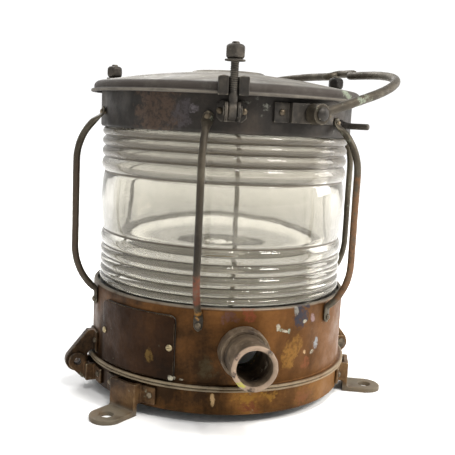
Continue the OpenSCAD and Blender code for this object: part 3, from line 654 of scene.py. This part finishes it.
def divide(points, step, closed=True):
    """Adds points so that none is further than step from the next."""
    out = []
    count = len(points)
    for i in range(count if closed else count - 1):
        a, b = Vector(points[i]), Vector(points[(i + 1) % count])
        parts = max(1, math.ceil((b - a).length / step))
        out += [a.lerp(b, k / parts) for k in range(parts)]
    if not closed:
        out.append(Vector(points[-1]))
    return out


def wander(point, scale, seed):
    return noise.noise(Vector(point) * scale + Vector((seed, seed * 1.7, -seed)))


def roughen(mesh, depth, scale, seed):
    """Pushes every vertex along its normal by up to depth millimetres, in lumps of two sizes."""
    normals = [v.normal.copy() for v in mesh.vertices]
    places = [v.co.copy() for v in mesh.vertices]
    flat = []
    for place, normal in zip(places, normals):
        lump = wander(place, scale, seed) + 0.5 * wander(place, scale * 2.6, seed)
        flat += list(place + normal * lump * depth * MM)
    mesh.vertices.foreach_set("co", flat)
    mesh.update()


def lathe(outline, segments, dent=0.0, dent_scale=20, seed=0.0):
    """Verts and faces of an outline of (radius, height) in millimetres, turned and slowly dented."""
    verts, faces = [], []
    count = len(outline)
    for i in range(segments):
        a = 2 * math.pi * i / segments
        s, c = math.sin(a), -math.cos(a)
        for r, z in outline:
            out = r
            if dent and r > 1:
                out = r + dent * wander((s * 0.11, c * 0.11, z * MM), dent_scale, seed)
            verts.append((out * s * MM, out * c * MM, z * MM))
    for i in range(segments):
        j = (i + 1) % segments
        for k in range(count):
            m = (k + 1) % count
            faces.append((i * count + k, j * count + k, j * count + m, i * count + m))
    return verts, faces


def closed_grid(columns, count, first=0):
    """Faces of a grid of columns of count points each, closed both ways, starting at point first."""
    faces = []
    for i in range(columns):
        j = (i + 1) % columns
        for k in range(count):
            m = (k + 1) % count
            corners = (i * count + k, j * count + k, j * count + m, i * count + m)
            faces.append(tuple(first + corner for corner in corners))
    return faces


def lathe_piece(name, outline, body, slot, material, replaced, segments=240, step=2.5, **dents):
    verts, faces = lathe(divide(outline, step), segments, **dents)
    return add_piece(name, mesh_from(name, verts, faces, 1e-6), body, material, replaced)


def sweep(path, sections, sides=24):
    """Verts and faces of a rod: each section is (across, through) half sizes, across being along side."""
    verts, faces = [], []
    for (centre, side, lift), (across, through) in zip(path, sections):
        for k in range(sides):
            a = 2 * math.pi * k / sides
            verts.append((centre + side * across * math.cos(a) + lift * through * math.sin(a)) * MM)
    rings = len(path)
    for i in range(rings - 1):
        for k in range(sides):
            m = (k + 1) % sides
            faces.append((i * sides + k, i * sides + m, (i + 1) * sides + m, (i + 1) * sides + k))
    faces.append(tuple(reversed(range(sides))))
    faces.append(tuple(range((rings - 1) * sides, rings * sides)))
    return verts, faces


def forge(name, nodes, material, voxel=0.55, soften=3, relief=0.06, seed=1.0):
    """A CAD node as a cast or hammered piece: remeshed finely, edges softened, faces slightly uneven."""
    nodes = [nodes] if isinstance(nodes, str) else nodes
    source = frame["nodes"][nodes[0]]
    mesh = source.data.copy()
    work = bmesh.new()
    for node in nodes:
        work.from_mesh(frame["nodes"][node].data)
    bmesh.ops.remove_doubles(work, verts=work.verts, dist=1e-6)
    work.to_mesh(mesh)
    work.free()
    blank = bpy.data.objects.new("blank", mesh)
    bpy.context.scene.collection.objects.link(blank)
    remesh = blank.modifiers.new("remesh", "REMESH")
    remesh.mode, remesh.voxel_size, remesh.adaptivity = "VOXEL", voxel * MM, 0
    smooth = blank.modifiers.new("soften", "SMOOTH")
    smooth.factor, smooth.iterations = 0.5, soften
    seen = blank.evaluated_get(bpy.context.evaluated_depsgraph_get())
    made = bpy.data.meshes.new_from_object(seen)
    bpy.data.objects.remove(blank)
    bpy.data.meshes.remove(mesh)
    roughen(made, relief, 160, seed)
    made.name = name
    body = source["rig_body"]
    return add_piece(name, made, body, material, nodes)


# ---------------------------------------------------------------- turned and moulded pieces


def make_ring_and_shell():
    ring = [(111, 8), (113, 8), (113, 27.35), (116, 27.35, 0.9), (117, 28.3, 0.9), (116, 29.35, 0.6),
            (106, 29.35), (106, 27.35), (111, 27.35)]
    lathe_piece("ring_skirt", fillet(ring, 0.5), "mounting_base", "base_brass", RING, ["mounting_ring"],
                dent=0.35, dent_scale=24, seed=3.1)
    shell = [(106, 29.65), (116, 29.65, 0.7), (117, 30.6, 0.9), (116, 31.65, 0.9), (112, 31.65, 1.0),
             (112, 91.2, 1.2), (110.9, 93, 1.2), (108.4, 93, 1.2), (108.4, 91.2), (110.5, 91.2),
             (110.5, 31.65), (106, 31.65)]
    outline = divide(fillet(shell, 0.5), 2.2)
    verts, faces = lathe(outline, 300, dent=0.4, dent_scale=22, seed=8.4)

    def in_tube(face):
        spots = [verts[i] for i in face]
        return all(math.hypot(p[0], p[2] - TUBE_Z * MM) < TUBE_HOLE_R * MM and p[1] < 0 for p in spots)

    faces = [f for f in faces if not in_tube(f)]
    mesh = mesh_from("base_shell_skin", verts, faces, 1e-6)
    work = bmesh.new()
    work.from_mesh(mesh)
    rim = [e for e in work.edges if e.is_boundary]
    bmesh.ops.bridge_loops(work, edges=rim)
    bmesh.ops.delete(work, geom=[v for v in work.verts if not v.link_faces], context="VERTS")
    bmesh.ops.recalc_face_normals(work, faces=work.faces)
    work.to_mesh(mesh)
    work.free()
    add_piece("base_shell_skin", mesh, "lantern_body", SHEET, ["base_shell"])


def make_band_and_lid():
    band = [(107, 225.4), (108.2, 225.4, 0.4), (109, 226.9, 1.2), (109, 256), (107, 256), (107, 234),
            (96, 234), (96, 232), (107, 232)]
    lathe_piece("band_skin", fillet(band, 0.5), "lantern_body", "top_bronze", BRONZE, ["top_band"],
                dent=0.4, dent_scale=26, seed=5.5)
    lid = [(0, 276.6), (30.5, 276.6, 2.5), (32.6, 274.9, 1.5), (71.7, 270.4, 12), (112.6, 263.2, 3),
           (115.6, 260.4, 2.2), (115.6, 256.5, 0.8), (117.8, 256.3, 0.7), (118.4, 255, 0.7),
           (117.8, 253.8, 0.6), (113.4, 253.8, 0.4), (113.4, 258.6), (104, 258.6), (102, 262.2),
           (69.4, 268), (32, 273), (0, 273)]
    lathe_piece("lid_skin", fillet(lid, 0.6), "lid_body", "top_bronze", LID, ["lid"], step=3,
                dent=0.5, dent_scale=20, seed=1.2)
    flat = [(0, 86), (108.6, 86), (108.6, 83.5), (110.35, 83.5), (110.35, 88), (25, 88), (0, 88)]
    lathe_piece("deck_skin", fillet(flat, 0.4), "lantern_body", "deck_enamel", ENAMEL, ["deck_plate"],
                step=6, segments=160)


GROOVES = [93, 99.2, 106.4, 115.6, 124.8, 137.3, 187.7, 200, 209.3, 217.6, 225.4]
GROOVE_R, RIB_HEIGHT = 104.3, 3.0


def make_lens():
    outline = [Vector((97.5, 89.5)), Vector((GROOVE_R - 0.4, 89.5))]
    for low, high in zip(GROOVES, GROOVES[1:]):
        tall = high - low
        steps = 12 if tall < 20 else 36
        for k in range(steps):
            t = k / steps
            swell = math.sin(math.pi * t) ** (0.62 if tall < 20 else 0.5)
            outline.append(Vector((GROOVE_R + RIB_HEIGHT * swell, low + t * tall)))
    outline += [Vector((GROOVE_R, 225.4)), Vector((GROOVE_R, 230)), Vector((97.5, 230))]
    inner = divide([outline[-1], outline[0]], 5, closed=False)[1:-1]
    verts, faces = lathe(outline + inner, 256, dent=0.12, dent_scale=30, seed=2.2)
    mesh = mesh_from("lens_drum", verts, faces, 1e-7)
    add_piece("lens_drum", mesh, "lantern_body", GLASS, ["lens"])


def rod_path():
    """The guard rod's middle line in (radius, height), from its upper pad to its lower one."""
    run_r, upper_bend, lower_bend = 132, 45, 49
    shoulder_z, elbow_z = 197, 126
    corners = [(110.4, 241.6), (110.4, 236.2, 3)]
    for a in [math.radians(d) for d in range(50, 0, -5)]:
        corners.append((run_r - upper_bend * (1 - math.cos(a)), shoulder_z + upper_bend * math.sin(a)))
    corners.append((run_r, shoulder_z))
    for a in [math.radians(d) for d in range(0, 52, 5)]:
        corners.append((run_r - lower_bend * (1 - math.cos(a)), elbow_z - lower_bend * math.sin(a)))
    corners += [(113.4, 87.4, 4), (113.4, 74.4)]
    return divide(fillet(corners, 2.5, closed=False), 1.6, closed=False)


def make_guard_rods():
    middle = rod_path()
    lengths = [0.0]
    for a, b in zip(middle, middle[1:]):
        lengths.append(lengths[-1] + (b - a).length)
    whole = lengths[-1]
    for i in range(6):
        azimuth = -18 + 60 * i
        outward, side = polar(1000, azimuth, 0), polar(1000, azimuth + 90, 0)
        up = Vector((0, 0, 1))
        path, sections = [], []
        for k, (r, z) in enumerate(middle):
            a, b = middle[max(k - 1, 0)], middle[min(k + 1, len(middle) - 1)]
            along = (b - a).normalized()
            lift = (outward * along.y - up * along.x).normalized()
            end = min(lengths[k], whole - lengths[k])
            free = min(1, end / 40)
            shift = 0.55 * free * wander((azimuth * 0.01, 0.2, z * MM), 14, 4.4 + i)
            bow = 0.5 * free * wander((azimuth * 0.01, 0.7, z * MM), 12, 9.1 + i)
            upper = k < len(middle) / 2
            flat = max(0.0, min(1.0, (17 - end) / 8)) ** 1.3
            spread = math.exp(-(((end - (10 if upper else 8)) / 5) ** 2))
            across = 2.8 + (1.2 if upper else 0.7) * flat + (0.7 if upper else 0.3) * spread
            through = 2.8 - 1.5 * flat
            tip = min(1, end / 4.6)
            round_off = math.sqrt(max(0.03, 1 - (1 - tip) ** 2))
            thin = min(1.0, 0.55 + end / 2.2)
            path.append((outward * (r + bow) + side * shift + up * z, side, lift))
            sections.append((across * round_off, through * thin))
        verts, faces = sweep(path, sections, 28)
        name = f"guard_rod_{i + 1}"
        mesh = mesh_from(name, verts, faces)
        roughen(mesh, 0.12, 140, i)
        add_piece(f"{name}_bar", mesh, "lantern_body", RODS, [name])


def make_cable_tube():
    """The tube, turned about its own axis, with a worn lip and the remains of a thread in its mouth."""
    outline = [(13.2, -104), (16.75, -104), (16.75, -151.5, 0.8), (17.3, -153, 0.8), (17.1, -154.6, 0.8),
               (15.2, -155, 0.9), (13.6, -154, 0.8)]
    thread = []
    for k in range(9):
        y = -152.6 + 1.6 * k
        thread += [(13.9, y), (13.1, y + 0.8)]
    profile = divide(fillet(outline, 0.3), 1.2, closed=False) + [Vector(p) for p in thread]
    sides = 120
    verts = []
    for i in range(sides):
        a = 2 * math.pi * i / sides
        for r, y in profile:
            worn = max(0.0, 1 - (y + 155) / 6) if r > 13.7 else 0.0
            x, z = math.cos(a) * 0.016, math.sin(a) * 0.016
            out = r + (0.1 + 0.5 * worn) * wander((x, y * MM, z), 190, 6.6)
            back = y + 0.55 * worn * max(0, wander((x, 0, z), 240, 2.9))
            verts.append((out * math.cos(a) * MM, back * MM, (TUBE_Z + out * math.sin(a)) * MM))
    mesh = mesh_from("cable_tube_mouth", verts, closed_grid(sides, len(profile)))
    add_piece("cable_tube_mouth", mesh, "lantern_body", TUBE, ["cable_tube"])


# ---------------------------------------------------------------- clamps


def thread_radius(angle, z, core, crest):
    """Radius of a 60 degree thread at an angle and a height, both from its start."""
    t = (z / PITCH - angle / (2 * math.pi)) % 1
    return core + (crest - core) * (1 - abs(2 * t - 1)) ** 0.8


def make_bolt(side, azimuth):
    node = f"swing_bolt_{side}"
    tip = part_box(node)[1].z / MM
    centre = polar(CLAMP_R, azimuth, 0) / MM
    start, rise = 256.0, PITCH / 8
    rows = [CLAMP_Z + 2.0 * k for k in range(7)]
    rows += [start + rise * k for k in range(int((tip - 1.2 - start) / rise) + 1)]
    rows.append(tip - 0.4)
    rows.append(tip)
    sides = 36
    verts, faces = [], []
    for z in rows:
        for k in range(sides):
            a = 2 * math.pi * k / sides
            r = 3.12 if z < start else thread_radius(a, z, 2.62, 3.14)
            if z > tip - 1.3:
                r = min(r, 3.14 - 0.75 * (z - tip + 1.3) / 1.3)
            verts.append(Vector((centre.x + r * math.cos(a), centre.y + r * math.sin(a), z)) * MM)
    for i in range(len(rows) - 1):
        for k in range(sides):
            m = (k + 1) % sides
            faces.append((i * sides + k, i * sides + m, (i + 1) * sides + m, (i + 1) * sides + k))
    faces.append(tuple(reversed(range(sides))))
    faces.append(tuple(range((len(rows) - 1) * sides, len(rows) * sides)))
    outward, cross = polar(1000, azimuth, 0), polar(1000, azimuth + 90, 0)
    eye = [(2.56, -3.2), (5.3, -3.2, 0.8), (6.3, -2.2, 1), (6.3, 2.2, 1), (5.3, 3.2, 0.8), (2.56, 3.2)]
    eye = divide(fillet(eye, 0.4), 0.9)
    pivot = Vector((centre.x, centre.y, CLAMP_Z))
    faces += closed_grid(48, len(eye), len(verts))
    for i in range(48):
        a = 2 * math.pi * i / 48
        for r, w in eye:
            spot = pivot + cross * w + outward * (r * math.sin(a)) + Vector((0, 0, r * math.cos(a)))
            verts.append(spot * MM)
    mesh = mesh_from(node, verts, faces)
    add_piece(f"{node}_stud", mesh, f"bolt_{side}", FITTINGS, [node])


def make_nut(side, azimuth):
    """A hexagon nut whose corners are rounded off towards both faces, round a plain bore."""
    node = f"nut_{side}"
    low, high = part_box(node)
    bottom, top = low.z / MM, high.z / MM
    centre = polar(CLAMP_R, azimuth, 0) / MM
    apothem, corner, bore = 6.55, 7.3, 3.25
    rounding = [(0, 0.62), (0.2, 0.74), (0.6, 0.85), (1.2, 0.94), (2.0, 1.02), (2.9, 1.08), (3.9, 1.16)]
    sides = 96
    turn = math.radians(azimuth - 90)
    verts = []
    for k in range(sides):
        a = 2 * math.pi * k / sides
        off = (a + math.pi / 6) % (math.pi / 3) - math.pi / 6
        hexagon = min(apothem / math.cos(math.pi / 6 - abs(off)), corner)
        column = [(bore, bottom + 0.4)]
        column += [(min(hexagon, limit * apothem), bottom + rise) for rise, limit in rounding]
        column += [(hexagon, (bottom + top) / 2)]
        column += [(min(hexagon, limit * apothem), top - rise) for rise, limit in reversed(rounding)]
        column += [(bore, top - 0.4), (bore, (bottom + top) / 2)]
        for r, z in column:
            verts.append((centre.x + r * math.cos(a + turn), centre.y + r * math.sin(a + turn), z))
    mesh = mesh_from(node, [Vector(v) * MM for v in verts], closed_grid(sides, len(column)))
    roughen(mesh, 0.12, 260, azimuth)
    add_piece(f"{node}_hex", mesh, f"nut_{side}_body", FITTINGS, [node])


def make_washer(side, azimuth):
    node = f"washer_{side}"
    low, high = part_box(node)
    bottom, top = low.z / MM, high.z / MM
    outline = divide(fillet([(3.5, bottom), (7.45, bottom), (7.45, top), (3.5, top)], 0.35), 0.8)
    verts, faces = lathe(outline, 64)
    centre = polar(CLAMP_R, azimuth, 0)
    verts = [Vector(v) + centre for v in verts]
    mesh = mesh_from(node, verts, faces)
    add_piece(f"{node}_disc", mesh, f"washer_{side}_body", FITTINGS, [node])


# ---------------------------------------------------------------- build

make_ring_and_shell()
make_band_and_lid()
make_lens()
make_guard_rods()
make_cable_tube()
for side, azimuth in CLAMPS.items():
    make_bolt(side, azimuth)
    make_nut(side, azimuth)
    make_washer(side, azimuth)
    forge(f"clamp_clevis_{side}", f"clamp_bracket_{side}", FITTINGS, seed=azimuth)
for side in ("left", "right", "rear"):
    forge(f"foot_strap_{side}", f"foot_{side}", BRASS, 0.7, 4, 0.12, seed=len(side))
for node in ("hinge_bracket", "lock_bracket"):
    forge(f"{node}_forged", node, BRASS, 0.6, 3, 0.1)
for node in ("hinge_lug", "lock_lug"):
    forge(f"{node}_forged", node, BRASS, 0.6, 3, 0.1)
forge("access_cover_plate", "access_cover", COVER, 0.5, 2, 0.10)
forge("tube_collar_solder", "tube_collar", TUBE, 0.5, 4, 0.25)
forge("lid_lugs_cast", "lid_lugs", FITTINGS, 0.6, 4, 0.12)
forge("bail_bar", "bail_handle", RODS, 0.6, 6, 0.12)
for side in ("front", "rear"):
    forge(f"bail_strap_{side}_bent", f"bail_strap_{side}", FITTINGS, 0.5, 3, 0.1)
forge("lashing_peg_turned", "lashing_peg", FITTINGS, 0.4, 3, 0.06)
for node in ("bail_pins", "bracket_pins"):
    forge(f"{node}_heads", node, FITTINGS, 0.35, 2, 0.05)
for node in ("band_rivets", "shell_rivets", "ring_rivets", "lid_rivets", "hinge_pin"):
    forge(f"{node}_heads", node, RIVETS, 0.35, 2, 0.05)
forge("cover_screws_slotted", "cover_screws", SCREWS, 0.3, 2, 0.04)
forge("lampholder_glazed", "lampholder", PORCELAIN, 0.7, 3, 0.03)
forge("terminal_block_moulded", "terminal_block", BAKELITE, 0.6, 3, 0.02)

for node, material in (
    ("cover_gasket", RUBBER),
    ("lower_gasket", RUBBER),
    ("upper_gasket", RUBBER),
    ("lid_gasket", RUBBER),
    ("socket_shell", CONTACT),
    ("centre_contact", CONTACT),
    ("terminal_screws", CONTACT),
    ("lead_wires", SLEEVE),
):
    mesh = frame["nodes"][node].data
    mesh.materials.clear()
    mesh.materials.append(material)
